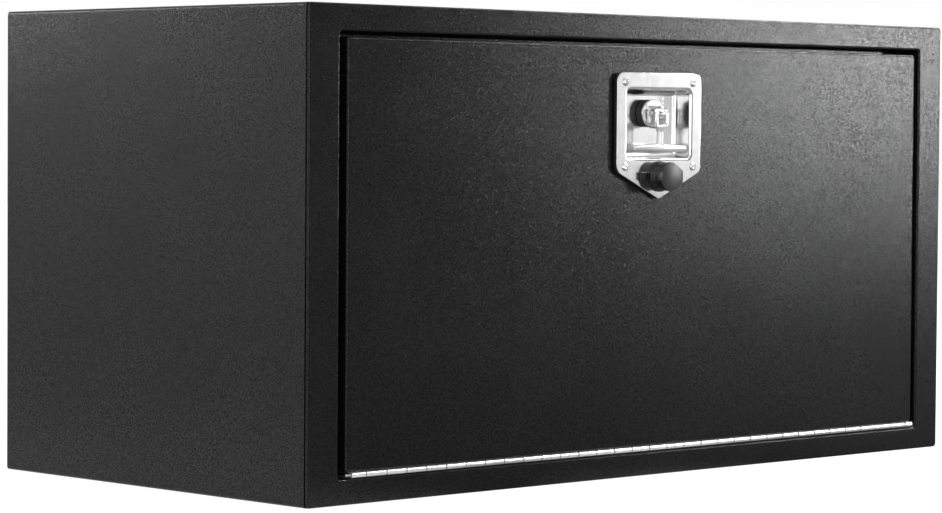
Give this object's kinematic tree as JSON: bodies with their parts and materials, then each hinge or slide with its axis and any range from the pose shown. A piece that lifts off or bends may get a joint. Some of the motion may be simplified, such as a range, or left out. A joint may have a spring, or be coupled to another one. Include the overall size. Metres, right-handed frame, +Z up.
{
  "type": "underbody truck tool box",
  "caption": "Steel storage box for under a truck bed, with a drop-down front door on a full-width piano hinge, a recessed T-handle latch and a key lock under a rubber cap.",
  "frame": {"origin": "centre of the flat underside, at the box's mid width and mid depth", "axes": "+X along the box's width, +Y from the door towards the back, +Z up; the door's handle faces -Y"},
  "size_m": [0.9144, 0.4796, 0.4572],
  "materials": {
    "powder_coat": "black textured powder coat on steel sheet",
    "stainless": "stainless, mill finish",
    "polished_stainless": "stainless, bright polished",
    "zinc_plate": "steel, zinc plated",
    "rubber": "matt black rubber"
  },
  "bodies": {
    "box": {"body_wrap": "powder_coat", "left_end_panel": "powder_coat", "right_end_panel": "powder_coat", "front_frame": "powder_coat", "door_seal": "rubber", "hinge_frame_leaf": "stainless", "hinge_pin": "stainless", "frame_leaf_rivet_1": "stainless", "frame_leaf_rivet_2": "stainless", "frame_leaf_rivet_3": "stainless", "frame_leaf_rivet_4": "stainless", "frame_leaf_rivet_5": "stainless", "frame_leaf_rivet_6": "stainless"},
    "door": {"door_skin": "powder_coat", "left_door_stiffener": "powder_coat", "right_door_stiffener": "powder_coat", "hinge_door_leaf": "stainless", "door_leaf_rivet_1": "stainless", "door_leaf_rivet_2": "stainless", "door_leaf_rivet_3": "stainless", "door_leaf_rivet_4": "stainless", "door_leaf_rivet_5": "stainless", "door_leaf_rivet_6": "stainless", "latch_gasket": "rubber", "latch_dish": "polished_stainless", "latch_rivet_1": "stainless", "latch_rivet_2": "stainless", "latch_rivet_3": "stainless", "latch_rivet_4": "stainless", "hub_seal": "rubber", "spindle_bushing": "zinc_plate", "lock_housing": "polished_stainless", "lock_nut": "zinc_plate", "strap_foot": "rubber"},
    "spindle": {"spindle": "polished_stainless", "lock_disc": "zinc_plate", "spindle_spacer": "zinc_plate", "latch_cam": "zinc_plate", "cam_nut": "zinc_plate"},
    "handle": {"t_handle": "polished_stainless", "yoke_pin": "stainless"},
    "lock_core": {"lock_plug": "stainless", "lock_pawl": "zinc_plate", "pawl_screw": "zinc_plate"},
    "dust_cap": {"dust_cap": "rubber"}
  },
  "joints": [
    {"name": "door_hinge", "type": "hinge", "parent": "box", "child": "door", "pos_m": [0, -0.2276, 0.0269], "axis": [1, 0, 0], "range_deg": [0, 120]},
    {"name": "spindle_turn", "type": "hinge", "parent": "door", "child": "spindle", "pos_m": [0, -0.2261, 0.3605], "axis": [0, 1, 0], "range_deg": [0, 90]},
    {"name": "handle_fold", "type": "hinge", "parent": "spindle", "child": "handle", "pos_m": [0, -0.2318, 0.3605], "axis": [-1, 0, 0], "range_deg": [0, 90]},
    {"name": "lock_turn", "type": "hinge", "parent": "door", "child": "lock_core", "pos_m": [0, -0.2347, 0.298], "axis": [0, -1, 0], "range_deg": [0, 90]},
    {"name": "dust_cap_swing", "type": "hinge", "parent": "door", "child": "dust_cap", "pos_m": [-0.0195, -0.2367, 0.298], "axis": [0, 0, -1], "range_deg": [0, 90]}
  ],
  "couplings": [
    {"joint": "spindle_turn", "follows": "handle_fold", "ratio": 1}
  ]
}
